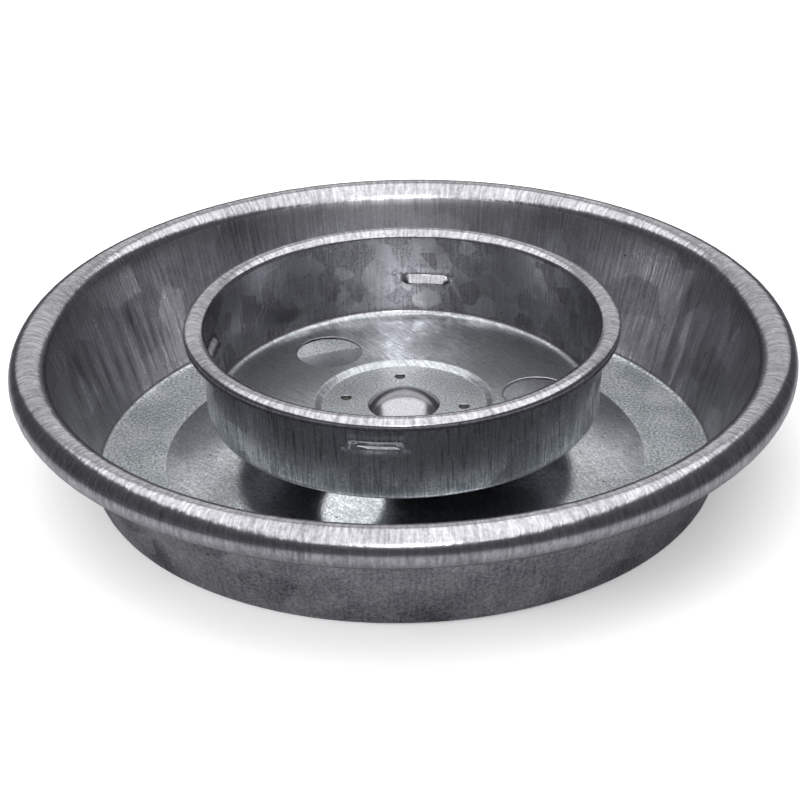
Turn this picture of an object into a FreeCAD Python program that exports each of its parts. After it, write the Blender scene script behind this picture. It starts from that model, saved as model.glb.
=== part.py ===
import FreeCAD, Part
import math
import os

# Screw-on drinking base for an inverted jar: a rolled-rim trough pan with a
# raised centre, and a screw cup welded on top of it.  Millimetres, +Z up.
# The base rests on Z = 0, and the common axis of pan and cup is the Z axis.

# ---- sheet metal
PAN_SHEET = 0.5
CUP_SHEET = 0.5

# ---- trough pan
PAN_RADIUS = 72.0            # outermost reach of the rolled rim
PAN_HEIGHT = 26.1            # table to the top of the rolled rim
PAN_CURL_RADIUS = 3.7        # outer radius of the rolled rim's round section
PAN_CURL_END = -62.0         # where the roll's cut edge stops, degrees below level
PAN_FLOOR_RADIUS = 57.0      # inner corner where the trough's floor meets its wall
PAN_CORNER = 1.3             # inside bend radius of that corner
CREASE_RADIUS = 44.7         # where the trough's floor breaks into the raised cone
CREASE_BEND = 0.8
CONE_SLOPE = 16.0            # degrees, up towards the middle
BOSS_FOOT_RADIUS = 19.0      # where the cone breaks into the steeper boss
BOSS_FOOT_BEND = 1.0
SEAT_MARGIN = 0.7            # boss's flat seat reaches this far past the cup's pocket
SEAT_HEIGHT = 10.7           # table to the seat that the cup is welded on
SEAT_BEND = 0.7

# ---- screw cup
CUP_HEIGHT = 18.05           # cup's underside to the top of its rim
CUP_BORE_BOTTOM = 35.7       # inner radius at the floor
CUP_DRAFT = 0.5              # the bore is wider by this just under the rim
CUP_CORNER = 1.6             # inside bend radius between floor and wall

# ---- the cup's rolled rim, pressed to a flattened bead
BEAD_WIDTH = 3.85            # from the bore to the bead's outside
BEAD_SLOPE = 28.0            # degrees, each half of its crown falls away
BEAD_CROWN = 2.2             # bend radius along the crown
BEAD_SHOULDER = 0.9          # bend radius at the two shoulders
BEAD_SKIRT = 1.05            # from the outer shoulder down to the cut edge
BEAD_LEAN = 0.2              # how far the cut edge turns back in

# ---- pressed centre of the cup, which stands on the seat
POCKET_RADIUS = 15.3
POCKET_DEPTH = 0.8
POCKET_SLOPE = 1.2           # level width of the pocket's sloping edge
POCKET_BEND = 0.5
DOME_RADIUS = 6.65
DOME_HEIGHT = 2.6
DOME_SLOPE = 42.0            # degrees at the foot of the dome
DOME_ROUND = 9.0
DOME_FOOT_BEND = 0.4
NEST_CLEARANCE = 0.2         # pan's own dome stays this far under the cup's

# ---- water holes in the cup's floor
HOLE_RADIUS = 6.2
HOLE_CIRCLE = 24.8
HOLE_FIRST_ANGLE = 4.5
HOLE_COUNT = 3

# ---- plug welds that hold the cup's pocket on the pan
WELD_RADIUS = 0.95
WELD_CIRCLE = 11.2
WELD_ANGLES = (-6.0, 93.0, 163.0, 267.0)
WELD_BITE = 0.15             # how far a weld sinks into the pan's sheet
WELD_SUNK = 0.25             # how far its face stays below the pocket's face

# ---- thread lugs lanced out of the cup's wall, set along a jar thread's helix
LUG_COUNT = 4
LUG_FIRST_ANGLE = -8.0
LUG_FIRST_HEIGHT = 5.85      # cup's underside to the lowest lug's cut edge
THREAD_PITCH = 6.35
LUG_LENGTH = 10.0
LUG_REACH = 1.3              # how far a lug stands in from the wall
LUG_RISE = 1.7               # height of a lug's sloping face

# ---- sizes that follow
POCKET_FACE = SEAT_HEIGHT + CUP_SHEET
CUP_FLOOR = POCKET_FACE + POCKET_DEPTH
CUP_UNDERSIDE = CUP_FLOOR - CUP_SHEET
CUP_TOP = CUP_UNDERSIDE + CUP_HEIGHT
CUP_BORE_TOP = CUP_BORE_BOTTOM + CUP_DRAFT
BEAD_FALL = 0.5 * BEAD_WIDTH * math.tan(math.radians(BEAD_SLOPE))
BEAD_RIDGE = CUP_TOP + BEAD_CROWN * (1.0 / math.cos(math.radians(BEAD_SLOPE)) - 1.0)
BEAD_SIDE = BEAD_RIDGE - BEAD_FALL    # height of the bead's two shoulders
SLACK = 1.0                  # cutters run past the faces they cut by this much

UP = FreeCAD.Vector(0, 0, 1)
CENTRE = FreeCAD.Vector(0, 0, 0)


def point(radius, height):
    return FreeCAD.Vector(radius, 0, height)


def unit(start, end):
    step = end.sub(start)
    return step.multiply(1.0 / step.Length)


def shift_path(corners, thickness):
    """Move a path of (radius, height, bend) to its right by the thickness."""
    count = len(corners)
    moved = []
    for index in range(count):
        here = point(corners[index][0], corners[index][1])
        ahead = point(*corners[min(index + 1, count - 1)][:2])
        behind = point(*corners[max(index - 1, 0)][:2])
        leave = unit(here, ahead) if index < count - 1 else unit(behind, here)
        arrive = unit(behind, here) if index > 0 else leave
        right_in = FreeCAD.Vector(arrive.z, 0, -arrive.x)
        right_out = FreeCAD.Vector(leave.z, 0, -leave.x)
        bisector = right_in.add(right_out)
        scale = 2.0 * thickness / bisector.dot(bisector)
        target = here.add(bisector.multiply(scale))
        turn = arrive.z * leave.x - arrive.x * leave.z
        bend = corners[index][2]
        if bend > 0:
            bend = bend - thickness if turn > 0 else bend + thickness
        moved.append((target.x, target.z, bend))
    return moved


def path_edges(corners):
    """Straight runs joined by round bends; a bend of 0 keeps the corner sharp."""
    edges = []
    last = point(corners[0][0], corners[0][1])
    for index in range(1, len(corners) - 1):
        here = point(corners[index][0], corners[index][1])
        ahead = point(corners[index + 1][0], corners[index + 1][1])
        before = point(corners[index - 1][0], corners[index - 1][1])
        bend = corners[index][2]
        to_back = unit(here, before)
        to_front = unit(here, ahead)
        half = 0.5 * to_back.getAngle(to_front)
        reach = bend / math.tan(half)
        start = here.add(FreeCAD.Vector(to_back).multiply(reach))
        end = here.add(FreeCAD.Vector(to_front).multiply(reach))
        inward = to_back.add(to_front)
        inward.normalize()
        to_arc = bend / math.sin(half) - bend
        middle = here.add(inward.multiply(to_arc))
        edges.append(Part.makeLine(last, start))
        edges.append(Part.Arc(start, middle, end).toShape())
        last = end
    finish = point(corners[-1][0], corners[-1][1])
    edges.append(Part.makeLine(last, finish))
    return edges


def curl_arc(centre, radius, start_angle, end_angle):
    stations = []
    for share in (0.0, 0.5, 1.0):
        angle = start_angle + share * (end_angle - start_angle)
        along = radius * math.cos(angle)
        above = radius * math.sin(angle)
        stations.append(centre.add(point(along, above)))
    return Part.Arc(*stations).toShape(), stations[0], stations[2]


def tangent_angle(foot, centre, radius):
    """Angle on the roll where a straight wall from the foot runs into it."""
    reach = foot.sub(centre)
    toward_foot = math.atan2(reach.z, reach.x)
    return toward_foot - math.acos(radius / reach.Length)


def sheet_edges(upper_path, sheet):
    """Edges of both faces of a sheet, given its upper-face path from the axis."""
    lower_path = shift_path(upper_path, sheet)
    lower_path[0] = (0.0, lower_path[0][1], 0)
    axis = Part.makeLine(point(0, upper_path[0][1]), point(0, lower_path[0][1]))
    edges = path_edges(upper_path) + path_edges(lower_path) + [axis]
    return edges, point(*upper_path[-1][:2]), point(*lower_path[-1][:2])


def spun(edges, upper_end, lower_end):
    """Close the sheet's section at its cut edge and turn it round the axis."""
    cut_edge = Part.makeLine(upper_end, lower_end)
    outline = Part.Wire(Part.__sortEdges__(edges + [cut_edge]))
    return Part.Face(outline).revolve(CENTRE, UP, 360)


def rolled_sheet(corners, sheet, curl_centre, curl_radius, curl_end):
    """Turn a sheet's upper-face path, with a round rolled rim at its end, into a solid."""
    foot = point(corners[-1][0], corners[-1][1])
    start = tangent_angle(foot, curl_centre, curl_radius)
    if start < 0:
        start += 2.0 * math.pi
    end = math.radians(curl_end)
    upper_arc, upper_start, upper_end = curl_arc(curl_centre, curl_radius, start, end)
    lower_arc, _, lower_end = curl_arc(curl_centre, curl_radius - sheet, start, end)
    edges, _, _ = sheet_edges(corners + [(upper_start.x, upper_start.z, 0)], sheet)
    return spun(edges + [upper_arc, lower_arc], upper_end, lower_end)


def dome_corners(face, radius, height):
    """Dome from the axis down to the level face it stands on."""
    run = height / math.tan(math.radians(DOME_SLOPE))
    crown = (radius - run, face + height, DOME_ROUND)
    return [(0.0, face + height, 0), crown, (radius, face, DOME_FOOT_BEND)]


def around(radius, degrees, height):
    angle = math.radians(degrees)
    return FreeCAD.Vector(radius * math.cos(angle), radius * math.sin(angle), height)


def weld_cylinders(bottom, top):
    shapes = []
    for degrees in WELD_ANGLES:
        foot = around(WELD_CIRCLE, degrees, bottom)
        shapes.append(Part.makeCylinder(WELD_RADIUS, top - bottom, foot, UP))
    return shapes


def wedge(outline, degrees):
    """Sweep a (radius, height) outline round the axis, centred on +X."""
    corners = [point(radius, height) for radius, height in outline]
    face = Part.Face(Part.makePolygon(corners + [corners[0]]))
    face.rotate(CENTRE, UP, -0.5 * degrees)
    return face.revolve(CENTRE, UP, degrees)


def bore_at(height):
    """Cup's inner radius at a height above the table."""
    share = (height - CUP_FLOOR) / (BEAD_SIDE - CUP_FLOOR)
    return CUP_BORE_BOTTOM + share * (CUP_BORE_TOP - CUP_BORE_BOTTOM)


def add_lug(cup, degrees, height):
    """Open the wall at a lug and put the lug's sloping sheet in its place."""
    bore = bore_at(height)
    skin = bore + 0.5 * CUP_SHEET
    tip = bore - LUG_REACH
    top = height + LUG_RISE
    turn = math.degrees(LUG_LENGTH / bore)
    end_wall = math.degrees(CUP_SHEET / bore)
    body = wedge([(skin, height), (tip, height), (tip, height + 0.3), (skin, top)], turn)
    outside = bore + CUP_SHEET + SLACK
    hollow_tip = tip + CUP_SHEET
    hollow_top = top - 1.6 * CUP_SHEET
    below = height - SLACK
    hollow = wedge(
        [(outside, height), (outside, hollow_top), (skin, hollow_top),
         (hollow_tip, height), (hollow_tip, below), (skin - CUP_SHEET, below),
         (skin - CUP_SHEET, height)],
        turn - 2.0 * end_wall)
    body.rotate(CENTRE, UP, degrees)
    hollow.rotate(CENTRE, UP, degrees)
    return cup.fuse(body).cut(hollow)


def make_pan():
    cone_climb = (CREASE_RADIUS - BOSS_FOOT_RADIUS) * math.tan(math.radians(CONE_SLOPE))
    side = math.radians(DOME_SLOPE)
    dome_inset = (CUP_SHEET + NEST_CLEARANCE) / math.sin(side) - CUP_SHEET / math.tan(side)
    dome_radius = DOME_RADIUS - dome_inset
    dome_height = DOME_HEIGHT - NEST_CLEARANCE
    corners = dome_corners(SEAT_HEIGHT, dome_radius, dome_height)
    corners[1] = (corners[1][0], corners[1][1], DOME_ROUND - CUP_SHEET)
    corners[2] = (corners[2][0], corners[2][1], PAN_SHEET + 0.1)
    corners += [
        (POCKET_RADIUS + SEAT_MARGIN, SEAT_HEIGHT, SEAT_BEND),
        (BOSS_FOOT_RADIUS, PAN_SHEET + cone_climb, BOSS_FOOT_BEND),
        (CREASE_RADIUS, PAN_SHEET, CREASE_BEND),
        (PAN_FLOOR_RADIUS, PAN_SHEET, PAN_CORNER),
    ]
    centre = point(PAN_RADIUS - PAN_CURL_RADIUS, PAN_HEIGHT - PAN_CURL_RADIUS)
    pan = rolled_sheet(corners, PAN_SHEET, centre, PAN_CURL_RADIUS, PAN_CURL_END)
    for crater in weld_cylinders(SEAT_HEIGHT - WELD_BITE, SEAT_HEIGHT + SLACK):
        pan = pan.cut(crater)
    return pan


def make_cup():
    corners = dome_corners(POCKET_FACE, DOME_RADIUS, DOME_HEIGHT)
    corners += [
        (POCKET_RADIUS, POCKET_FACE, POCKET_BEND),
        (POCKET_RADIUS + POCKET_SLOPE, CUP_FLOOR, POCKET_BEND + CUP_SHEET),
        (CUP_BORE_BOTTOM, CUP_FLOOR, CUP_CORNER),
        (CUP_BORE_TOP, BEAD_SIDE, BEAD_SHOULDER),
        (CUP_BORE_TOP + 0.5 * BEAD_WIDTH, BEAD_RIDGE, BEAD_CROWN),
        (CUP_BORE_TOP + BEAD_WIDTH, BEAD_SIDE, BEAD_SHOULDER),
        (CUP_BORE_TOP + BEAD_WIDTH - BEAD_LEAN, BEAD_SIDE - BEAD_SKIRT, 0),
    ]
    cup = spun(*sheet_edges(corners, CUP_SHEET))
    for number in range(HOLE_COUNT):
        degrees = HOLE_FIRST_ANGLE + number * 360.0 / HOLE_COUNT
        foot = around(HOLE_CIRCLE, degrees, CUP_UNDERSIDE - SLACK)
        cup = cup.cut(Part.makeCylinder(HOLE_RADIUS, CUP_SHEET + 2 * SLACK, foot, UP))
    for opening in weld_cylinders(SEAT_HEIGHT - SLACK, POCKET_FACE + SLACK):
        cup = cup.cut(opening)
    for number in range(LUG_COUNT):
        turn = number / LUG_COUNT
        height = CUP_UNDERSIDE + LUG_FIRST_HEIGHT + turn * THREAD_PITCH
        cup = add_lug(cup, LUG_FIRST_ANGLE + 360.0 * turn, height)
    return cup


def make_welds():
    return Part.makeCompound(weld_cylinders(SEAT_HEIGHT - WELD_BITE, POCKET_FACE - WELD_SUNK))


os.makedirs("parts", exist_ok=True)
make_pan().exportStep("parts/trough_pan.step")
make_cup().exportStep("parts/screw_cup.step")
make_welds().exportStep("parts/plug_welds.step")
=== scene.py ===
"""Looks of a screw-on poultry drinking base: a rolled-rim galvanised pan that carries a screw cup."""
import math

import bmesh
import bpy
import numpy as np
from mathutils import Matrix, Vector


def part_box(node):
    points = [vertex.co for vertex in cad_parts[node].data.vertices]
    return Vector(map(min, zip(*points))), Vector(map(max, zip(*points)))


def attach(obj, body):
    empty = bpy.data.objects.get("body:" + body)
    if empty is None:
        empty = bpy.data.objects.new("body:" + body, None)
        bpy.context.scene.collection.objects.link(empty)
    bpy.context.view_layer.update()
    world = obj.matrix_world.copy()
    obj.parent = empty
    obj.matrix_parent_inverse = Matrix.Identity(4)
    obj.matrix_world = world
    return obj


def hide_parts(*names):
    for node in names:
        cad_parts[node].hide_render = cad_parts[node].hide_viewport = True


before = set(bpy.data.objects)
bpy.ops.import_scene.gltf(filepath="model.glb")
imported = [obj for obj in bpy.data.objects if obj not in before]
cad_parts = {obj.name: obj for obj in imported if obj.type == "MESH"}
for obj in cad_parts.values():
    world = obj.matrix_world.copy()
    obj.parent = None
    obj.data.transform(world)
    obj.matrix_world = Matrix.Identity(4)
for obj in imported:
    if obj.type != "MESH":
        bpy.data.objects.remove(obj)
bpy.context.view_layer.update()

bl_info = {
    "name": "Galvanised drinking base",
    "version": (1, 0, 0),
    "blender": (4, 5, 0),
    "location": "View3D > Sidebar > Drinking base",
    "description": "Builds the rolled pan, the screw cup and its welds around the packed frame",
    "category": "Object",
}

MM = 0.001
BODY = "root"
PAN_LOW, PAN_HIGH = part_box("trough_pan")
CUP_LOW, CUP_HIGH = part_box("screw_cup")
WELD_LOW, WELD_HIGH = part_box("plug_welds")
FULL_TURN = 2.0 * math.pi

PAN_COLUMNS = 1080                 # points round the pan
CUP_COLUMNS = 960
WELD_COLUMNS = 40
PAN_STEP = 1.5 * MM                # longest step along a straight run
CUP_STEP = 0.45 * MM
BEND_STEPS = 8
ROLL_STEPS = 44
SHEET_SHARP = math.radians(32.0)   # edges sharper than this stay crisp
WELD_SHARP = math.radians(40.0)
SAME_POINT = 2e-7
NO_LENGTH = 1e-8
SAME_LEVEL = 1e-9
NO_WAVE = 1e-9
TINY = 1e-6                        # keeps a division away from zero

LUG_COUNT = 4
WALL_FOOT = 2 * MM                 # cup floor to where its wall runs straight
WATER_HOLES = 3
PUNCH_CLEAR = 1 * MM               # a punch passes right through the sheet
WELD_RADIUS = 0.95 * MM
WELD_CIRCLE = 11.2 * MM            # axis to a weld's centre
WELD_WAYS = [math.radians(degrees) for degrees in (-6.0, 93.0, 163.0, 267.0)]

UNDER_TONES = ("#6C6A70", "#A3A2A8", "#CDCCD1")
EDGE_TONES = ("#8E8E90", "#D0D0D2", "#F0F0F2")
CLOUD_SIZE = 12.0 * MM
ROLLER_WIDTH = 0.42 * MM
ROLLER_LENGTH = 2.2 * MM
ROLLER_TURNS = ((-52.0, 1.0), (30.0, 0.4))     # degrees, and how strongly each set shows
RUN_WIDTH = 0.5 * MM
RUN_LENGTH = 7.0 * MM
PIT_SPACING = 3.0 * MM
WELD_RIPPLE_SIZE = 0.4 * MM

CAMERA_AIM = Vector((-0.7 * MM, 0.0, 12.2 * MM))
QUIET_FROM = 0.100                 # the paper's reflection starts to fade this far from the axis
QUIET_TO = 0.150


# ------------------------------------------------------------------ settings

def length(name, description, default, low=0.0, high=1.0):
    return bpy.props.FloatProperty(
        name=name, description=description, default=default, min=low, max=high,
        subtype="DISTANCE", unit="LENGTH", precision=5)


def angle(name, description, degrees):
    return bpy.props.FloatProperty(
        name=name, description=description, default=math.radians(degrees),
        subtype="ANGLE", unit="ROTATION")


def hex_colour(name, description, default):
    return bpy.props.StringProperty(name=name, description=description, default=default)


class PanSettings(bpy.types.PropertyGroup):
    radius: length("Rim radius", "Outermost reach of the rolled rim", PAN_HIGH.x)
    height: length("Height", "Table to the top of the rolled rim", PAN_HIGH.z)
    sheet: length("Sheet", "Thickness of the pan's sheet", 0.5 * MM)
    curl: length("Roll radius", "Outer radius of the rolled rim's section", 3.7 * MM)
    curl_end: angle("Roll end", "Where the roll's cut edge stops, from level", -62.0)
    floor_radius: length("Floor radius", "Corner between trough floor and wall", 57.0 * MM)
    corner: length("Corner bend", "Inside bend at the floor's corner", 1.3 * MM)
    crease_radius: length("Crease radius", "Where the raised cone starts", 44.7 * MM)
    cone_slope: angle("Cone slope", "Climb of the raised cone", 16.0)
    boss_radius: length("Boss foot", "Where the cone breaks into the boss", 19.0 * MM)
    seat_radius: length("Seat radius", "Flat seat under the cup", 16.0 * MM)
    seat_height: length("Seat height", "Table to the cup's seat", WELD_LOW.z + 0.15 * MM)


class CupSettings(bpy.types.PropertyGroup):
    sheet: length("Sheet", "Thickness of the cup's sheet", 0.5 * MM)
    top: length("Rim top", "Table to the top of the cup's rim", CUP_HIGH.z)
    bore: length("Bore at floor", "Inner radius of the cup at its floor", 35.7 * MM)
    draft: length("Draft", "The bore is wider by this just under the rim", 0.5 * MM)
    corner: length("Corner bend", "Inside bend between floor and wall", 1.6 * MM)
    bead_width: length("Bead width", "Flattened bead, from the bore to its outside", 3.85 * MM)
    bead_slope: angle("Bead slope", "Each half of the bead's crown falls away", 28.0)
    bead_crown: length("Bead crown", "Bend along the bead's crown", 2.2 * MM)
    bead_shoulder: length("Bead shoulder", "Bend at the bead's two shoulders", 0.9 * MM)
    bead_skirt: length("Bead skirt", "Outer shoulder down to the cut edge", 1.05 * MM)
    bead_lean: length("Bead lean", "How far the cut edge turns back in", 0.2 * MM)
    pocket_radius: length("Pocket radius", "Pressed pocket's flat", 15.3 * MM)
    pocket_depth: length("Pocket depth", "How far the pocket is pressed down", 0.8 * MM)
    dome_radius: length("Dome radius", "Foot of the pressed dome", 6.65 * MM)
    dome_height: length("Dome height", "Pressed dome above the pocket", 2.6 * MM)
    hole_radius: length("Water hole radius", "Punched water holes in the floor", 6.2 * MM)
    hole_circle: length("Water hole circle", "Axis to a water hole's centre", 24.8 * MM)
    hole_angle: angle("First water hole", "Direction of the first water hole", 4.5)
    lug_angle: angle("First lug", "Direction of the lowest thread lug", -8.0)
    lug_height: length("First lug height", "Underside to the lowest lug's cut edge", 5.85 * MM)
    lug_pitch: length("Thread pitch", "Rise of the lugs in one turn", 6.35 * MM)
    lug_length: length("Lug length", "Length of a lug round the wall", 10.0 * MM)
    lug_reach: length("Lug reach", "How far a lug stands in", 1.3 * MM)
    lug_rise: length("Lug rise", "Height of a lug's sloping face", 1.7 * MM)


class FinishSettings(bpy.types.PropertyGroup):
    zinc_dark: hex_colour("Dark zinc", "Darkest streaks of the drawn zinc", "#77757A")
    zinc_middle: hex_colour("Zinc", "Middle tone of the drawn zinc", "#AEADB2")
    zinc_light: hex_colour("Light zinc", "Lightest streaks of the drawn zinc", "#DADADD")
    floor_dark: hex_colour("Dark floor", "Darkest grains of the pressed floor", "#8B9193")
    floor_middle: hex_colour("Floor", "Middle tone of the pressed floor", "#B4BABC")
    floor_light: hex_colour("Light floor", "Lightest grains of the pressed floor", "#D8DCDE")
    pale_dark: hex_colour("Dark pressing", "Darkest grains of the cone and pocket", "#8C9093")
    pale_middle: hex_colour("Pressing", "Middle tone of the cone and pocket", "#B2B6B9")
    pale_light: hex_colour("Light pressing", "Lightest grains of the cone and pocket", "#DCDFE1")
    weld_tone: hex_colour("Weld", "Heat-darkened weld metal", "#3A3938")


class StageSettings(bpy.types.PropertyGroup):
    distance: length("Camera distance", "Camera to the point it looks at", 0.505, 0.1, 5.0)
    elevation: angle("Camera elevation", "Camera above level", 28.52)
    roll: angle("Camera roll", "Camera turned about its own axis", -1.34)
    lens: bpy.props.FloatProperty(
        name="Lens", description="Focal length in millimetres", default=122.7, min=20.0)


# ------------------------------------------------------------------ sheet outlines

def shifted(corners, sheet):
    """The same run of (radius, height, bend) corners, one sheet thickness below."""
    moved = []
    last = len(corners) - 1
    for index, (radius, height, bend) in enumerate(corners):
        here = np.array([radius, height])
        ahead = np.array(corners[min(index + 1, last)][:2]) - here
        behind = here - np.array(corners[max(index - 1, 0)][:2])
        leave = ahead if index < last else behind
        arrive = behind if index > 0 else leave
        leave = leave / np.linalg.norm(leave)
        arrive = arrive / np.linalg.norm(arrive)
        side = np.array([arrive[1] + leave[1], -arrive[0] - leave[0]])
        spot = here + side * (2.0 * sheet / side.dot(side))
        turn = arrive[1] * leave[0] - arrive[0] * leave[1]
        if bend > 0.0:
            bend = bend - sheet if turn > 0.0 else bend + sheet
        moved.append((spot[0], spot[1], bend))
    moved[0] = (0.0, moved[0][1], 0.0)
    return moved


def run_points(corners, zones, run_step):
    """Points along straight runs and round bends; each carries its zone name."""
    points = []

    def straight(start, end, zone):
        gap = np.linalg.norm(end - start)
        steps = max(1, int(math.ceil(gap / run_step)))
        for step in range(steps):
            points.append((*(start + (end - start) * step / steps), zone))

    last = np.array(corners[0][:2])
    for index in range(1, len(corners) - 1):
        here = np.array(corners[index][:2])
        back = np.array(corners[index - 1][:2]) - here
        front = np.array(corners[index + 1][:2]) - here
        back = back / np.linalg.norm(back)
        front = front / np.linalg.norm(front)
        half = 0.5 * math.acos(max(-1.0, min(1.0, back.dot(front))))
        bend = corners[index][2]
        start = here + back * bend / math.tan(half)
        inward = (back + front) / np.linalg.norm(back + front)
        centre = here + inward * bend / math.sin(half)
        straight(last, start, zones[index - 1])
        first = start - centre
        sweep = math.pi - 2.0 * half
        if back[0] * front[1] - back[1] * front[0] > 0.0:
            sweep = -sweep
        for step in range(BEND_STEPS):
            part = sweep * step / BEND_STEPS
            turned = np.array([first[0] * math.cos(part) - first[1] * math.sin(part),
                               first[0] * math.sin(part) + first[1] * math.cos(part)])
            points.append((*(centre + turned), zones[index - 1 if step < BEND_STEPS // 2 else index]))
        end = here + front * bend / math.tan(half)
        last = end
    straight(last, np.array(corners[-1][:2]), zones[-1])
    points.append((*corners[-1][:2], zones[-1]))
    return points


def roll_points(centre, radius, start, end, zone):
    """Points round the roll, after the one where the wall meets it."""
    return [(centre[0] + radius * math.cos(a), centre[1] + radius * math.sin(a), zone)
            for a in np.linspace(start, end, ROLL_STEPS + 1)[1:]]


def roll_start(foot, centre, radius):
    """Angle on the roll where the straight wall from its foot runs into it."""
    reach = np.array(foot) - np.array(centre)
    toward = math.atan2(reach[1], reach[0])
    start = toward - math.acos(radius / np.linalg.norm(reach))
    return start + FULL_TURN if start < 0.0 else start


def both_faces(upper, zones, under_zones, sheet, run_step):
    """Points of a sheet's upper face from the axis outwards, and of its lower face."""
    return (run_points(upper, zones, run_step),
            run_points(shifted(upper, sheet), under_zones, run_step))


def waves(seed, low, high, count, columns):
    """Uneven ripple round a ring, made of whole waves so that its ends meet."""
    rng = np.random.default_rng(seed)
    turn = np.linspace(0.0, FULL_TURN, columns, endpoint=False)
    total = np.zeros(columns)
    for _ in range(count):
        total += rng.normal() * np.cos(int(rng.integers(low, high)) * turn + rng.uniform(0, FULL_TURN))
    return total / (np.abs(total).max() + NO_WAVE)


def closed_section(top, under):
    """Rows of a closed sheet: the upper face out to the cut edge, then the lower face back."""
    rows = top + list(reversed(under))
    edge_row = len(top) - 1
    rows[edge_row] = (rows[edge_row][0], rows[edge_row][1], "edge")
    return rows, edge_row


def turned_grid(rows, columns):
    """Directions round the ring, each row's (radius, height), and the two grids to be shaped."""
    turn = np.linspace(0.0, FULL_TURN, columns, endpoint=False)
    spot = np.array([(r, z) for r, z, _ in rows])
    return turn, spot, np.repeat(spot[:, :1], columns, 1), np.repeat(spot[:, 1:], columns, 1)


def press_roll(rows, spot, centre, depth, radius, height):
    """Presses a roll toward its centre by a depth that changes round the ring."""
    from_roll = spot - np.array(centre)
    reach = np.maximum(np.linalg.norm(from_roll, axis=1), TINY)
    on_roll = np.array([zone in ("roll", "edge", "roll_inside") for _, _, zone in rows])
    press = depth[None, :] * on_roll[:, None]
    radius -= press * (from_roll[:, 0] / reach)[:, None]
    height -= press * (from_roll[:, 1] / reach)[:, None]


def shear_edge(edge_row, ragged, burr, radius, height):
    """Gives the cut edge the uneven line and the burr that shearing leaves."""
    for row in (edge_row, edge_row + 1):
        height[row] += ragged
    for row, share in ((edge_row - 1, 0.5), (edge_row, 1.0)):
        radius[row] += share * burr


def grid_mesh(name, rows, turn, radius, height, zone_names, skip=(), extra=()):
    """Mesh of a turned grid that closes round the ring; skip leaves rows open, extra adds faces."""
    count, columns = radius.shape
    points = np.stack([radius * np.cos(turn), radius * np.sin(turn), height], -1)
    mesh = bpy.data.meshes.new(name)
    index = np.arange(count * columns).reshape(count, columns)
    faces = []
    slots = []
    for row in range(count - 1):
        if row in skip:
            continue
        a = index[row]
        b = index[row + 1]
        faces.append(np.stack([a, b, np.roll(b, -1), np.roll(a, -1)], 1))
        slots.append(np.full(columns, zone_names.index(rows[row][2])))
    for quads, zone in extra:
        faces.append(quads)
        slots.append(np.full(len(quads), zone_names.index(zone)))
    mesh.from_pydata(points.reshape(-1, 3).tolist(), [], np.concatenate(faces).tolist())
    mesh.polygons.foreach_set("material_index", np.concatenate(slots).astype(np.int32))
    return mesh


def sheet_coordinate(mesh, spot, turn, ring):
    """Per-point (ring x, ring y, distance along the section), in metres, for the finishes."""
    along = np.concatenate([[0.0], np.cumsum(np.linalg.norm(np.diff(spot, axis=0), axis=1))])
    data = np.zeros((len(spot), len(turn), 3))
    data[..., 0] = ring * np.cos(turn)
    data[..., 1] = ring * np.sin(turn)
    data[..., 2] = along[:, None]
    attribute = mesh.attributes.new("sheet", "FLOAT_VECTOR", "POINT")
    attribute.data.foreach_set("vector", data.reshape(-1).astype(np.float32))


def clean_and_link(name, mesh, materials):
    """Joins the points that coincide on the axis and at the cuts, and links the piece."""
    edit = bmesh.new()
    edit.from_mesh(mesh)
    bmesh.ops.remove_doubles(edit, verts=edit.verts, dist=SAME_POINT)
    bmesh.ops.dissolve_degenerate(edit, dist=NO_LENGTH, edges=edit.edges)
    bmesh.ops.recalc_face_normals(edit, faces=edit.faces)
    edit.to_mesh(mesh)
    edit.free()
    for material in materials:
        mesh.materials.append(material)
    piece = bpy.data.objects.new(name, mesh)
    bpy.context.scene.collection.objects.link(piece)
    mesh.shade_smooth()
    mesh.set_sharp_from_angle(angle=SHEET_SHARP)
    return piece


def vertex_ring(edit, x, y, radius, columns, height_at):
    """One ring of points round (x, y); height_at gives the height at each direction."""
    ring = []
    for column in range(columns):
        a = FULL_TURN * column / columns
        ring.append(edit.verts.new((x + radius * math.cos(a), y + radius * math.sin(a), height_at(a))))
    return ring


def skin_rings(edit, rings):
    """Closes a stack of rings into a solid."""
    for low, high in zip(rings, rings[1:]):
        for column in range(len(low)):
            after = (column + 1) % len(low)
            edit.faces.new((low[column], low[after], high[after], high[column]))
    edit.faces.new(list(reversed(rings[0])))
    edit.faces.new(rings[-1])


def edited_mesh(name, edit):
    """Turns an edit of closed solids into a mesh with its normals outwards."""
    bmesh.ops.recalc_face_normals(edit, faces=edit.faces)
    mesh = bpy.data.meshes.new(name)
    edit.to_mesh(mesh)
    edit.free()
    return mesh


def punches(tools):
    """One object of closed turned punches, each an (outline, x, y, columns)."""
    edit = bmesh.new()
    for outline, x, y, columns in tools:
        skin_rings(edit, [vertex_ring(edit, x, y, radius, columns, lambda a: height)
                          for radius, height in outline])
    tool = bpy.data.objects.new("punch", edited_mesh("punch", edit))
    bpy.context.scene.collection.objects.link(tool)
    return tool


def punch(piece, tool):
    """Cuts the punches out of the piece for good."""
    cut = piece.modifiers.new("punch", "BOOLEAN")
    cut.operation = "DIFFERENCE"
    cut.solver = "EXACT"
    cut.object = tool
    bpy.context.view_layer.update()
    graph = bpy.context.evaluated_depsgraph_get()
    done = bpy.data.meshes.new_from_object(piece.evaluated_get(graph), depsgraph=graph)
    piece.modifiers.clear()
    piece.data = done
    bpy.data.objects.remove(tool)
    piece.data.set_sharp_from_angle(angle=SHEET_SHARP)


# ------------------------------------------------------------------ finishes

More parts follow.
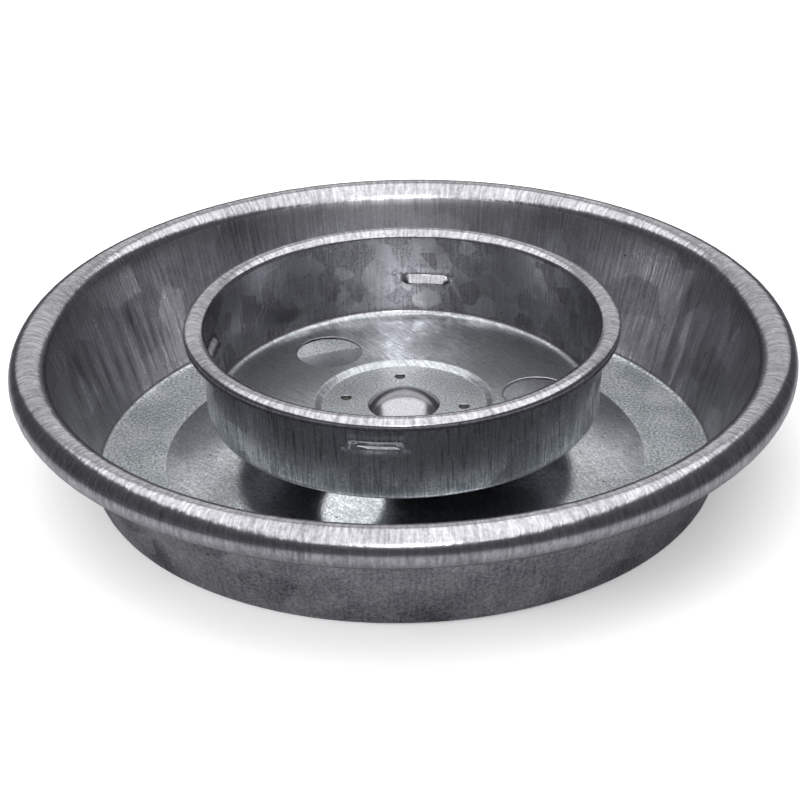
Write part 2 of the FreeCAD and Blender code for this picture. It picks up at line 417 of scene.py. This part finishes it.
def linear(code):
    """sRGB hex to the linear colour that shaders use."""
    parts = [int(code[i:i + 2], 16) / 255.0 for i in (1, 3, 5)]
    return tuple(c / 12.92 if c <= 0.04045 else ((c + 0.055) / 1.055) ** 2.4 for c in parts) + (1.0,)


def new_material(name):
    made = bpy.data.materials.new(name)
    made.use_nodes = True
    made.node_tree.nodes.clear()
    return made


def add(material, kind, settings=None, links=None):
    """Adds one node; settings are socket or node values, links are input name to (node, output)."""
    node = material.node_tree.nodes.new(kind)
    for key, value in (settings or {}).items():
        if isinstance(key, str) and hasattr(node, key):
            setattr(node, key, value)
        else:
            node.inputs[key].default_value = value
    for key, (source, output) in (links or {}).items():
        material.node_tree.links.new(source.outputs[output], node.inputs[key])
    return node


def ramp(node, stops):
    """Sets a colour ramp's stops, each a (place, colour)."""
    band = node.color_ramp
    while len(band.elements) < len(stops):
        band.elements.new(0.5)
    for element, (place, colour) in zip(band.elements, stops):
        element.position = place
        element.color = colour
    return node


def grey(value):
    return (value, value, value, 1.0)


def weighted(material, layers, spread):
    """Sum of (node, output, share) patterns, stretched so that the middle +- spread fills 0 to 1."""
    total = None
    middle = 0.5 * sum(share for _, _, share in layers)
    for node, output, share in layers:
        links = {0: (node, output)}
        if total is None:
            total = add(material, "ShaderNodeMath", {"operation": "MULTIPLY", 1: share}, links)
        else:
            links[2] = (total, 0)
            total = add(material, "ShaderNodeMath", {"operation": "MULTIPLY_ADD", 1: share}, links)
    return add(material, "ShaderNodeMapRange", {1: middle - spread, 2: middle + spread}, {0: (total, 0)})


def spangle_facets(made, place, across):
    """Zinc crystals: bent cells of slightly different grey, about this far across."""
    warp = add(made, "ShaderNodeTexNoise", {"Scale": 0.5 / across, "Detail": 4.0},
               {"Vector": (place, "Object")})
    bent = add(made, "ShaderNodeVectorMath", {"operation": "MULTIPLY_ADD", 1: (0.8 * across,) * 3},
               {0: (warp, "Color"), 2: (place, "Object")})
    cells = add(made, "ShaderNodeTexVoronoi",
                {"feature": "SMOOTH_F1", "Scale": 1.0 / across, "Smoothness": 0.12},
                {"Vector": (bent, "Vector")})
    return add(made, "ShaderNodeSeparateColor", {}, {"Color": (cells, "Color")})


def sheet_lines(made, across, along, detail, uneven):
    """Lines that run along the sheet's section, of this width and length."""
    sheet = add(made, "ShaderNodeAttribute", {"attribute_name": "sheet"})
    stretch = add(made, "ShaderNodeVectorMath",
                  {"operation": "MULTIPLY", 1: (1.0 / across, 1.0 / across, 1.0 / along)},
                  {0: (sheet, "Vector")})
    return add(made, "ShaderNodeTexNoise", {"Scale": 1.0, "Detail": detail, "Roughness": uneven},
               {"Vector": (stretch, "Vector")})


def roller_lines(made, place, share):
    """Two crossed sets of short wavy lines that the mill's rollers left, as weighted layers."""
    layers = []
    for turn, part in ROLLER_TURNS:
        turned = add(made, "ShaderNodeMapping", {
            "vector_type": "TEXTURE", "Rotation": (0.0, 0.0, math.radians(turn)),
            "Scale": (ROLLER_LENGTH, ROLLER_WIDTH, ROLLER_LENGTH)}, {"Vector": (place, "Object")})
        cross = add(made, "ShaderNodeTexNoise", {"Scale": 1.0, "Detail": 2.0, "Distortion": 0.3},
                    {"Vector": (turned, "Vector")})
        layers.append((cross, "Fac", part * share))
    return layers


def water_runs(made, colour, strength):
    """Dark runs that drying water left down the wall."""
    run = sheet_lines(made, RUN_WIDTH, RUN_LENGTH, 1.0, 0.5)
    wet = ramp(add(made, "ShaderNodeValToRGB", {}, {"Fac": (run, "Fac")}),
               [(0.31, grey(strength)), (0.42, grey(0.0))])
    stained = add(made, "ShaderNodeMix", {"data_type": "RGBA", 7: linear("#35343A")},
                  {0: (wet, "Color"), 6: colour})
    return stained, 2


def dark_pits(made, place, colour, chance):
    """Dark pits of about 0.4 mm; chance is the share of 3 mm cells that hold one."""
    spots = add(made, "ShaderNodeTexVoronoi", {"Scale": 1.0 / PIT_SPACING}, {"Vector": (place, "Object")})
    hole = ramp(add(made, "ShaderNodeValToRGB", {}, {"Fac": (spots, "Distance")}),
                [(0.05, grey(1.0)), (0.10, grey(0.0))])
    draw = add(made, "ShaderNodeSeparateColor", {}, {"Color": (spots, "Color")})
    chosen = add(made, "ShaderNodeMath", {"operation": "LESS_THAN", 1: chance}, {0: (draw, "Green")})
    mark = add(made, "ShaderNodeMath", {"operation": "MULTIPLY"}, {0: (hole, "Color"), 1: (chosen, 0)})
    mixed = add(made, "ShaderNodeMix", {"data_type": "RGBA", 7: linear("#1E1E20")},
                {0: (mark, 0), 6: colour})
    return mixed, 2


def galvanised(name, tones, rough, streak_mm, shares, spread, relief_mm,
               spangle_mm=6.0, grain_mm=0.4, hatch=0.0, pits=0.0, runs=0.0):
    """Hot-dip galvanised steel sheet.

    The zinc gives soft facets of slightly different grey (spangle), drawing leaves fine lines
    along the pull, and handling leaves a fine grain and a few dark pits.  tones runs from the
    darkest to the lightest zinc, rough from the glossiest to the dullest patch, streak_mm is a
    line's width and length, and shares weigh spangle, streaks, grain and clouds.  Drawing lines
    and grain are finer on real sheet: they are drawn as coarse as they need to be to show.
    """
    made = new_material(name)
    place = add(made, "ShaderNodeTexCoord")
    facet = spangle_facets(made, place, spangle_mm * MM)
    lines = sheet_lines(made, streak_mm[0] * MM, streak_mm[1] * MM, 3.0, 0.6)
    grain = add(made, "ShaderNodeTexNoise",
                {"Scale": 1.0 / (grain_mm * MM), "Detail": 2.0, "Roughness": 0.6},
                {"Vector": (place, "Object")})
    cloud = add(made, "ShaderNodeTexNoise", {"Scale": 1.0 / CLOUD_SIZE, "Detail": 4.0},
                {"Vector": (place, "Object")})
    spangle_share, streak_share, grain_share, cloud_share = shares
    ridges = [(lines, "Fac", streak_share), (grain, "Fac", grain_share)]
    layers = [(facet, "Red", spangle_share), *ridges, (cloud, "Fac", cloud_share)]
    if hatch:
        crossed = roller_lines(made, place, hatch)
        layers += crossed
        ridges += crossed
    part = weighted(made, layers, spread)
    tone = ramp(add(made, "ShaderNodeValToRGB", {}, {"Fac": (part, 0)}),
                [(0.0, linear(tones[0])), (0.5, linear(tones[1])), (1.0, linear(tones[2]))])
    gloss = ramp(add(made, "ShaderNodeValToRGB", {}, {"Fac": (part, 0)}),
                 [(0.0, grey(rough[1])), (1.0, grey(rough[0]))])
    colour = (tone, "Color")
    if runs:
        colour = water_runs(made, colour, runs)
    if pits:
        colour = dark_pits(made, place, colour, pits)
    height = weighted(made, ridges, 0.5 * sum(share for _, _, share in ridges))
    relief = add(made, "ShaderNodeBump", {"Strength": 1.0, "Distance": relief_mm * MM},
                 {"Height": (height, 0)})
    shader = add(made, "ShaderNodeBsdfPrincipled", {"Metallic": 1.0},
                 {"Base Color": colour, "Roughness": (gloss, "Color"), "Normal": (relief, "Normal")})
    add(made, "ShaderNodeOutputMaterial", {}, {"Surface": (shader, "BSDF")})
    return made


def zinc_finishes():
    """One finish for each way the sheet was worked."""
    shade = bpy.context.scene.base_finish
    bright = (shade.zinc_dark, shade.zinc_middle, shade.zinc_light)
    dull = (shade.floor_dark, shade.floor_middle, shade.floor_light)
    pale = (shade.pale_dark, shade.pale_middle, shade.pale_light)
    return {
        # pressed flat and untouched by the die: matt and grainy, with pits
        "floor": galvanised("galvanised_pressed_floor", dull, rough=(0.30, 0.44), streak_mm=(0.6, 6.0),
                            shares=(0.05, 0.0, 1.0, 0.50), spread=0.12, relief_mm=0.070,
                            spangle_mm=7.0, grain_mm=0.50, pits=0.5),
        # stretched over the die: smoother, so that it mirrors the lights as soft patches
        "cone": galvanised("galvanised_pressed_cone", pale, rough=(0.12, 0.24), streak_mm=(0.6, 6.0),
                           shares=(0.05, 0.0, 0.7, 0.40), spread=0.18, relief_mm=0.045,
                           spangle_mm=7.0, grain_mm=0.45, hatch=0.35, pits=0.5),
        # drawn up through the die: upright lines over clouded grey
        "wall": galvanised("galvanised_drawn_wall", bright, rough=(0.24, 0.38), streak_mm=(0.50, 9.0),
                           shares=(0.22, 0.8, 0.35, 0.5), spread=0.30, relief_mm=0.022,
                           spangle_mm=8.0, grain_mm=0.5, pits=0.08),
        # rolled over: burnished, with short bright and dark lines across the roll
        "roll": galvanised("galvanised_rolled_rim", bright, rough=(0.12, 0.28), streak_mm=(0.65, 3.6),
                           shares=(0.05, 1.0, 0.45, 0.35), spread=0.36, relief_mm=0.032,
                           spangle_mm=8.0, grain_mm=0.6, pits=0.06),
        # outside of the drawing: darker, mottled and satin
        "under": galvanised("galvanised_outside", UNDER_TONES, rough=(0.28, 0.44), streak_mm=(0.6, 5.0),
                            shares=(0.22, 0.35, 0.8, 0.6), spread=0.26, relief_mm=0.035,
                            spangle_mm=8.0, grain_mm=0.55, pits=0.12),
        # inside the roll, where nothing rubs: dull
        "roll_inside": galvanised("galvanised_roll_inside", bright, rough=(0.40, 0.50),
                                  streak_mm=(0.6, 8.0), shares=(0.05, 0.6, 0.4, 0.3), spread=0.36,
                                  relief_mm=0.02),
        # sheared through the zinc: a bright, lined edge
        "edge": galvanised("sheared_steel_edge", EDGE_TONES, rough=(0.22, 0.40), streak_mm=(0.35, 0.35),
                           shares=(0.0, 1.0, 0.5, 0.2), spread=0.40, relief_mm=0.04),
        # inside of the cup: small spangle under faint upright lines
        "cup_wall": galvanised("galvanised_cup_wall", bright, rough=(0.17, 0.34), streak_mm=(0.40, 6.0),
                               shares=(0.28, 0.50, 0.40, 0.45), spread=0.27, relief_mm=0.018,
                               spangle_mm=3.6, grain_mm=0.45, pits=0.06),
        # outside of the cup: upright lines and dark water runs
        "cup_outside": galvanised("galvanised_cup_outside", pale, rough=(0.20, 0.40),
                                  streak_mm=(0.35, 7.0), shares=(0.20, 0.8, 0.55, 0.7), spread=0.20,
                                  relief_mm=0.045, spangle_mm=5.5, grain_mm=0.45, pits=0.12, runs=0.38),
        # mill-rolled sheet that was only pressed lightly: crossed wavy lines
        "cup_floor": galvanised("galvanised_cup_floor", pale, rough=(0.24, 0.38), streak_mm=(0.5, 5.0),
                                shares=(0.05, 0.0, 0.3, 0.35), spread=0.26, relief_mm=0.045,
                                spangle_mm=7.0, grain_mm=0.4, hatch=0.8),
        # pressed flat against the seat: pale and matt
        "pocket": galvanised("galvanised_pocket", pale, rough=(0.34, 0.44), streak_mm=(0.5, 5.0),
                             shares=(0.03, 0.0, 1.0, 0.30), spread=0.17, relief_mm=0.055,
                             spangle_mm=7.0, grain_mm=0.40, pits=0.2),
        # stretched most and rubbed: the smoothest zinc
        "dome": galvanised("galvanised_dome", bright, rough=(0.16, 0.26), streak_mm=(0.5, 5.0),
                           shares=(0.05, 0.0, 0.4, 0.3), spread=0.45, relief_mm=0.006,
                           spangle_mm=7.0, grain_mm=0.4),
    }


MADE_FINISHES = {}


def finishes_for(zones):
    """The named finishes; each is made once and shared by the pieces."""
    if not MADE_FINISHES:
        MADE_FINISHES.update(zinc_finishes())
    return [MADE_FINISHES[zone] for zone in zones]


def weld_metal(code):
    """Plug weld: heat-darkened, slightly rippled, dull."""
    made = new_material("plug_weld_metal")
    place = add(made, "ShaderNodeTexCoord")
    noise = add(made, "ShaderNodeTexNoise", {"Scale": 1.0 / WELD_RIPPLE_SIZE, "Detail": 3.0},
                {"Vector": (place, "Object")})
    tone = ramp(add(made, "ShaderNodeValToRGB", {}, {"Fac": (noise, "Fac")}),
                [(0.3, linear(code)), (0.7, linear("#6A6968"))])
    relief = add(made, "ShaderNodeBump", {"Strength": 0.6, "Distance": 0.1 * MM},
                 {"Height": (noise, "Fac")})
    shader = add(made, "ShaderNodeBsdfPrincipled", {"Metallic": 1.0, "Roughness": 0.6},
                 {"Base Color": (tone, "Color"), "Normal": (relief, "Normal")})
    add(made, "ShaderNodeOutputMaterial", {}, {"Surface": (shader, "BSDF")})
    return made


# ------------------------------------------------------------------ pieces

class BASE_OT_pan(bpy.types.Operator):
    """Builds the trough pan with its rolled rim, flutes and raised centre."""
    bl_idname = "base.trough_pan"
    bl_label = "Trough pan"

    def execute(self, context):
        size = context.scene.base_pan
        rows, edge_row, centre = self.section(size, context.scene.base_cup)
        columns = PAN_COLUMNS
        turn, spot, radius, height = turned_grid(rows, columns)
        self.flute_wall(size, centre[0], turn, spot, radius)
        # small creases across the roll, pressed inward so that the rim keeps its full size
        fine = 0.5 + 0.5 * waves(11, 150, 330, 40, columns)
        coarse = 0.5 + 0.5 * waves(12, 20, 90, 20, columns)
        press_roll(rows, spot, centre, 0.035 * MM * fine + 0.05 * MM * coarse, radius, height)
        shear_edge(edge_row, 0.07 * MM * waves(17, 60, 260, 30, columns), 0.11 * MM, radius, height)
        zones = ["cone", "floor", "wall", "roll", "edge", "roll_inside", "under"]
        mesh = grid_mesh("trough_pan_drawn", rows, turn, radius, height, zones)
        sheet_coordinate(mesh, spot, turn, size.radius)
        piece = clean_and_link("trough_pan_drawn", mesh, finishes_for(zones))
        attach(piece, BODY)
        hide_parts("trough_pan")
        return {"FINISHED"}

    @staticmethod
    def section(size, cup):
        """The pan's closed section, the row of its cut edge and the centre of its roll."""
        sheet = size.sheet
        climb = (size.crease_radius - size.boss_radius) * math.tan(size.cone_slope)
        dome_top = size.seat_height + cup.dome_height - 0.2 * MM
        corners = [
            (0.0, dome_top, 0.0),
            (3.5 * MM, dome_top, 8.5 * MM),
            (6.17 * MM, size.seat_height, 0.6 * MM),
            (size.seat_radius, size.seat_height, 0.7 * MM),
            (size.boss_radius, sheet + climb, 1.0 * MM),
            (size.crease_radius, sheet, 0.8 * MM),
            (size.floor_radius, sheet, size.corner),
        ]
        zones = ["cone"] * 5 + ["floor", "wall"]
        centre = (size.radius - size.curl, size.height - size.curl)
        start = roll_start(corners[-1][:2], centre, size.curl)
        meet = (centre[0] + size.curl * math.cos(start), centre[1] + size.curl * math.sin(start), 0.0)
        top, under = both_faces(corners + [meet], zones, ["under"] * len(zones), sheet, PAN_STEP)
        top += roll_points(centre, size.curl, start, size.curl_end, "roll")
        under += roll_points(centre, size.curl - sheet, start, size.curl_end, "roll_inside")
        rows, edge_row = closed_section(top, under)
        return rows, edge_row, centre

    @staticmethod
    def flute_wall(size, wall_end, turn, spot, radius):
        """Shallow flutes that the drawing die left in the wall, strongest at the two sides."""
        up_wall = np.clip((spot[:, 0] - size.floor_radius) / (wall_end - size.floor_radius), 0, 1)
        on_wall = up_wall * np.clip(spot[:, 1] / (6 * MM), 0, 1) > 0
        sides = np.cos(turn) ** 2
        flute = (0.6 * waves(3, 8, 30, 10, len(turn)) * (0.3 + 0.7 * sides)
                 + 1.5 * waves(4, 46, 96, 18, len(turn)) * sides ** 2)
        bulge = np.sin(np.pi * np.clip(spot[:, 1] / (size.height - 2 * size.curl), 0, 1))
        radius -= (0.16 * MM * bulge * on_wall)[:, None] * flute[None, :]


class BASE_OT_cup(bpy.types.Operator):
    """Builds the screw cup with its flattened bead, lugs, pocket, dome and punched holes."""
    bl_idname = "base.screw_cup"
    bl_label = "Screw cup"

    def execute(self, context):
        size = context.scene.base_cup
        seat = context.scene.base_pan.seat_height
        columns = CUP_COLUMNS
        pocket = seat + size.sheet
        floor = pocket + size.pocket_depth
        underside = floor - size.sheet
        half = 0.5 * size.bead_width
        ridge = size.top + size.bead_crown * (1.0 / math.cos(size.bead_slope) - 1.0)
        side = ridge - half * math.tan(size.bead_slope)
        mouth = size.bore + size.draft
        centre = (mouth + half, side - 0.3 * MM)
        lugs = [(size.lug_angle + k * FULL_TURN / LUG_COUNT,
                 underside + size.lug_height + k * size.lug_pitch / LUG_COUNT) for k in range(LUG_COUNT)]
        top, under = self.faces(size, pocket, floor, side, ridge)
        top, top_cuts = with_lug_rows(top, lugs, floor + WALL_FOOT, centre[0])
        under, under_cuts = with_lug_rows(under, lugs, floor + WALL_FOOT, centre[0])
        rows, edge_row = closed_section(top, under)
        last = len(rows) - 1
        outer_cuts = {k: (last - low, last - high) for k, (low, high) in under_cuts.items()}
        turn, spot, radius, height = turned_grid(rows, columns)
        on_wall = (spot[:, 0] > size.bore - 1.2 * MM) & (spot[:, 1] > floor)
        on_wall &= (spot[:, 1] < side - size.bead_shoulder) & (spot[:, 0] < size.bore + 1.4 * MM)
        strips = []
        for k, (where, level) in enumerate(lugs):
            off = (turn - where + math.pi) % FULL_TURN - math.pi
            strips += press_lug(size, level, off, spot, on_wall, top_cuts[k], outer_cuts[k], radius)
        # light dents along the bead, pressed inward so that the rim keeps its full size
        dents = (0.02 * MM * (0.5 + 0.5 * waves(21, 90, 240, 40, columns))
                 + 0.04 * MM * (0.5 + 0.5 * waves(22, 6, 40, 16, columns)))
        press_roll(rows, spot, centre, dents, radius, height)
        shear_edge(edge_row, 0.05 * MM * waves(27, 40, 200, 30, columns), 0.06 * MM, radius, height)
        zones = ["dome", "pocket", "cup_floor", "cup_wall", "roll", "edge", "roll_inside",
                 "cup_outside", "under"]
        skip = [low for low, _ in top_cuts.values()] + [high for _, high in outer_cuts.values()]
        mesh = grid_mesh("screw_cup_drawn", rows, turn, radius, height, zones, skip, strips)
        sheet_coordinate(mesh, spot, turn, size.bore)
        piece = clean_and_link("screw_cup_drawn", mesh, finishes_for(zones))
        punch(piece, punches(self.hole_tools(size, seat, pocket, underside, floor)))
        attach(piece, BODY)
        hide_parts("screw_cup")
        return {"FINISHED"}

    @staticmethod
    def faces(size, pocket, floor, side, ridge):
        """The cup's two faces, from the dome on the axis out over the bead to its cut edge."""
        mouth = size.bore + size.draft
        corners = [
            (0.0, pocket + size.dome_height, 0.0),
            (3.76 * MM, pocket + size.dome_height, 9.0 * MM),
            (size.dome_radius, pocket, 0.4 * MM),
            (size.pocket_radius, pocket, 0.5 * MM),
            (size.pocket_radius + 1.2 * MM, floor, 1.0 * MM),
            (size.bore, floor, size.corner),
            (mouth, side, size.bead_shoulder),
            (mouth + 0.5 * size.bead_width, ridge, size.bead_crown),
            (mouth + size.bead_width, side, size.bead_shoulder),
            (mouth + size.bead_width - size.bead_lean, side - size.bead_skirt, 0.0),
        ]
        zones = ["dome", "dome", "pocket", "cup_floor", "cup_floor", "cup_wall", "roll", "roll", "roll"]
        under_zones = ["under"] * 5 + ["cup_outside"] + ["roll_inside"] * 3
        return both_faces(corners, zones, under_zones, size.sheet, CUP_STEP)

    @staticmethod
    def hole_tools(size, seat, pocket, underside, floor):
        """Punches for the water holes and the welds' holes, each with the edge it rolls over."""
        tools = []
        r = size.hole_radius
        for k in range(WATER_HOLES):
            way = size.hole_angle + k * FULL_TURN / WATER_HOLES
            outline = [(r, underside - PUNCH_CLEAR), (r, floor - 0.12 * MM),
                       (r + 0.04 * MM, floor - 0.05 * MM), (r + 0.14 * MM, floor),
                       (r + 0.14 * MM, floor + PUNCH_CLEAR)]
            tools.append((outline, size.hole_circle * math.cos(way), size.hole_circle * math.sin(way), 96))
        r = WELD_RADIUS
        for way in WELD_WAYS:
            outline = [(r, seat - PUNCH_CLEAR), (r, pocket - 0.1 * MM),
                       (r + 0.1 * MM, pocket), (r + 0.1 * MM, pocket + PUNCH_CLEAR)]
            tools.append((outline, WELD_CIRCLE * math.cos(way), WELD_CIRCLE * math.sin(way), WELD_COLUMNS))
        return tools


def with_lug_rows(points, lugs, lowest, widest):
    """Adds a doubled row of points at each lug's cut, on the straight wall only."""
    made = []
    cuts = {}
    levels = sorted(((level, k) for k, (_, level) in enumerate(lugs)))
    for index, point in enumerate(points):
        if index and point[1] > lowest and points[index - 1][1] < point[1] and point[0] < widest:
            before = points[index - 1]
            for level, k in levels:
                if before[1] < level <= point[1]:
                    share = (level - before[1]) / (point[1] - before[1])
                    r = before[0] + share * (point[0] - before[0])
                    cuts[k] = (len(made), len(made) + 1)
                    made += [(r, level, point[2])] * 2
        made.append(point)
    return made, cuts


def smooth(share):
    return share * share * (3.0 - 2.0 * share)


def press_lug(size, level, off, spot, on_wall, inner, outer, radius):
    """Presses one thread lug in from the wall above its cut, and returns the cut's sheared faces.

    off is each column's direction from the lug's middle.  inner and outer are the doubled rows
    at the cut, below and above it, on the sheet's two faces.
    """
    width = size.lug_length / size.bore
    z = spot[:, 1]
    ends = smooth(np.clip((0.5 * width - np.abs(off)) / (0.20 * width), 0.0, 1.0))
    # the lug's face runs out lower at its ends, so that they look rounded
    tall = size.lug_rise * (0.55 + 0.45 * ends[None, :])
    rise = smooth(np.clip((level + tall - spot[:, 1:]) / (tall - 0.3 * MM), 0.0, 1.0))
    rise = np.where(spot[:, 1:] >= level - SAME_LEVEL, rise, 0.0)
    rise[[inner[0], outer[0]]] = 0.0
    # soft swelling that the punch raised round the top and the ends of the lug
    over = np.exp(-((z - level - size.lug_rise - 0.25 * MM) / (0.5 * MM)) ** 2)
    beside = 0.6 * np.exp(-((np.abs(off) * size.bore - 0.53 * size.lug_length) / (0.75 * MM)) ** 2)
    span = np.clip((0.56 * width - np.abs(off)) / (0.10 * width), 0.0, 1.0)
    low_part = np.clip((level + size.lug_rise - z) / (0.6 * MM), 0.0, 1.0)
    low_part *= np.clip((z - level + 0.5 * MM) / (0.6 * MM), 0.0, 1.0)
    radius += 0.16 * MM * ((over * on_wall)[:, None] * span[None, :]
                           + (low_part * on_wall)[:, None] * beside[None, :])
    radius -= size.lug_reach * rise * on_wall[:, None] * ends[None, :]
    # the wall springs out a little just below the cut
    below = np.clip(1.0 - (level - z) / (0.9 * MM), 0.0, 1.0)
    below = np.where(z <= level + SAME_LEVEL, below, 0.0)
    below[[inner[1], outer[1]]] = 0.0
    radius += 0.10 * MM * (below * on_wall)[:, None] * ends[None, :]
    open_columns = np.nonzero((ends > 0) | (np.roll(ends, -1) > 0))[0]
    columns = len(off)
    after = (open_columns + 1) % columns
    return [(np.stack([a * columns + open_columns, a * columns + after,
                       b * columns + after, b * columns + open_columns], 1), "edge")
            for a, b in zip(outer, inner)]


class BASE_OT_welds(bpy.types.Operator):
    """Builds the four sunk plug welds with dished, rippled faces."""
    bl_idname = "base.plug_welds"
    bl_label = "Plug welds"

    def execute(self, context):
        edit = bmesh.new()
        top = WELD_HIGH.z
        outline = [(1.0, WELD_LOW.z), (1.0, top - 0.04 * MM), (0.9, top)]
        outline += [(share, top - 0.10 * MM * math.cos(0.5 * math.pi * share)) for share in (0.7, 0.5, 0.3)]
        for number, way in enumerate(WELD_WAYS):
            x, y = WELD_CIRCLE * math.cos(way), WELD_CIRCLE * math.sin(way)
            rings = []
            for share, level in outline:
                ripple = 0.02 * MM * (share < 0.95)
                rings.append(vertex_ring(edit, x, y, WELD_RADIUS * share, WELD_COLUMNS,
                                         lambda a: level + min(0.0, ripple * math.sin(3 * a + number))))
            skin_rings(edit, rings)
        mesh = edited_mesh("plug_welds_sunk", edit)
        piece = bpy.data.objects.new("plug_welds_sunk", mesh)
        bpy.context.scene.collection.objects.link(piece)
        mesh.materials.append(weld_metal(context.scene.base_finish.weld_tone))
        mesh.shade_smooth()
        mesh.set_sharp_from_angle(angle=WELD_SHARP)
        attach(piece, BODY)
        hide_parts("plug_welds")
        return {"FINISHED"}


# ------------------------------------------------------------------ stage

def soft_box(name, spot, aim, width, depth, power):
    """A rectangular soft light of this size in metres and power in watts."""
    light = bpy.data.lights.new(name, "AREA")
    light.shape = "RECTANGLE"
    light.size = width
    light.size_y = depth
    light.energy = power
    holder = bpy.data.objects.new(name, light)
    holder.location = spot
    holder.rotation_euler = (Vector(aim) - Vector(spot)).to_track_quat("-Z", "Y").to_euler()
    bpy.context.scene.collection.objects.link(holder)
    return holder


def studio_paper():
    """White paper: near white to look at, and a quieter grey in the zinc, fading away outwards."""
    made = new_material("studio_paper")
    way = add(made, "ShaderNodeLightPath")
    pale = add(made, "ShaderNodeBsdfPrincipled", {"Base Color": linear("#F4F4F4"), "Roughness": 0.9,
                                                  "Emission Color": linear("#FFFFFF"),
                                                  "Emission Strength": 0.3})
    place = add(made, "ShaderNodeTexCoord")
    away = add(made, "ShaderNodeVectorMath", {"operation": "LENGTH"}, {0: (place, "Object")})
    fade = add(made, "ShaderNodeMapRange", {1: QUIET_FROM, 2: QUIET_TO}, {0: (away, "Value")})
    quiet_tone = ramp(add(made, "ShaderNodeValToRGB", {}, {"Fac": (fade, 0)}),
                      [(0.0, linear("#B8B8BA")), (1.0, linear("#5A5A5E"))])
    quiet = add(made, "ShaderNodeBsdfDiffuse", {}, {"Color": (quiet_tone, "Color")})
    seen = add(made, "ShaderNodeMixShader", {}, {0: (way, "Is Glossy Ray"), 1: (pale, 0), 2: (quiet, 0)})
    add(made, "ShaderNodeOutputMaterial", {}, {"Surface": (seen, 0)})
    return made


class BASE_OT_stage(bpy.types.Operator):
    """Sets the pale floor, the soft studio light and the camera."""
    bl_idname = "base.stage"
    bl_label = "Stage"

    def execute(self, context):
        self.lay_floor()
        world = bpy.data.worlds.new("studio_room")
        world.use_nodes = True
        room = world.node_tree.nodes["Background"].inputs
        room["Color"].default_value = linear("#8A8A8E")
        room["Strength"].default_value = 0.45
        context.scene.world = world
        context.scene.view_settings.view_transform = "Standard"
        soft_box("overhead", spot=(0.0, -0.33, 1.0), aim=(0.0, -0.33, 0.0), width=1.7, depth=2.5, power=22.0)
        soft_box("back_glow", spot=(0.0, 1.7, 0.85), aim=(0.0, 0.0, 0.0), width=3.0, depth=1.0, power=7.0)
        soft_box("front_key", spot=(0.0, -1.35, 0.90), aim=(0.0, 0.0, 0.0), width=0.5, depth=0.28, power=2.9)
        # lights the paper on the left, and is hidden from the polished walls
        fill = soft_box("left_fill", spot=(-1.2, -0.5, 0.55), aim=(-0.2, 0.0, 0.0), width=0.7, depth=0.6,
                        power=9.0)
        fill.visible_glossy = False
        self.set_camera(context)
        return {"FINISHED"}

    @staticmethod
    def lay_floor():
        edit = bmesh.new()
        bmesh.ops.create_grid(edit, x_segments=1, y_segments=1, size=3.0)
        mesh = bpy.data.meshes.new("studio_floor")
        edit.to_mesh(mesh)
        edit.free()
        floor = bpy.data.objects.new("studio_floor", mesh)
        bpy.context.scene.collection.objects.link(floor)
        # just under the base, so that the two faces don't share a plane
        floor.location.z = -0.02 * MM
        mesh.materials.append(studio_paper())

    @staticmethod
    def set_camera(context):
        stage = context.scene.base_stage
        back = Vector((0.0, -math.cos(stage.elevation), math.sin(stage.elevation)))
        lens = bpy.data.cameras.new("camera")
        lens.lens = stage.lens
        lens.sensor_width = 36.0
        holder = bpy.data.objects.new("camera", lens)
        turn = back.to_track_quat("Z", "Y").to_matrix().to_4x4()
        holder.matrix_world = (Matrix.Translation(CAMERA_AIM + back * stage.distance) @ turn
                               @ Matrix.Rotation(stage.roll, 4, "Z"))
        context.scene.collection.objects.link(holder)
        context.scene.camera = holder


class BASE_PT_panel(bpy.types.Panel):
    """Lists the pieces of the drinking base"""
    bl_label = "Drinking base"
    bl_idname = "BASE_PT_panel"
    bl_space_type = "VIEW_3D"
    bl_region_type = "UI"
    bl_category = "Drinking base"

    def draw(self, context):
        for operator in OPERATORS:
            self.layout.operator(operator.bl_idname)
        for group in GROUPS:
            settings = getattr(context.scene, group)
            for name in settings.__annotations__:
                self.layout.prop(settings, name)


OPERATORS = (BASE_OT_pan, BASE_OT_cup, BASE_OT_welds, BASE_OT_stage)
GROUPS = {"base_pan": PanSettings, "base_cup": CupSettings,
          "base_finish": FinishSettings, "base_stage": StageSettings}


def register():
    for group in GROUPS.values():
        bpy.utils.register_class(group)
    for piece in (*OPERATORS, BASE_PT_panel):
        bpy.utils.register_class(piece)
    for name, group in GROUPS.items():
        setattr(bpy.types.Scene, name, bpy.props.PointerProperty(type=group))


def unregister():
    for name in GROUPS:
        delattr(bpy.types.Scene, name)
    for piece in (BASE_PT_panel, *reversed(OPERATORS)):
        bpy.utils.unregister_class(piece)
    for group in reversed(GROUPS.values()):
        bpy.utils.unregister_class(group)


def main():
    register()
    bpy.ops.base.trough_pan()
    bpy.ops.base.screw_cup()
    bpy.ops.base.plug_welds()
    bpy.ops.base.stage()


if __name__ == "__main__":
    main()
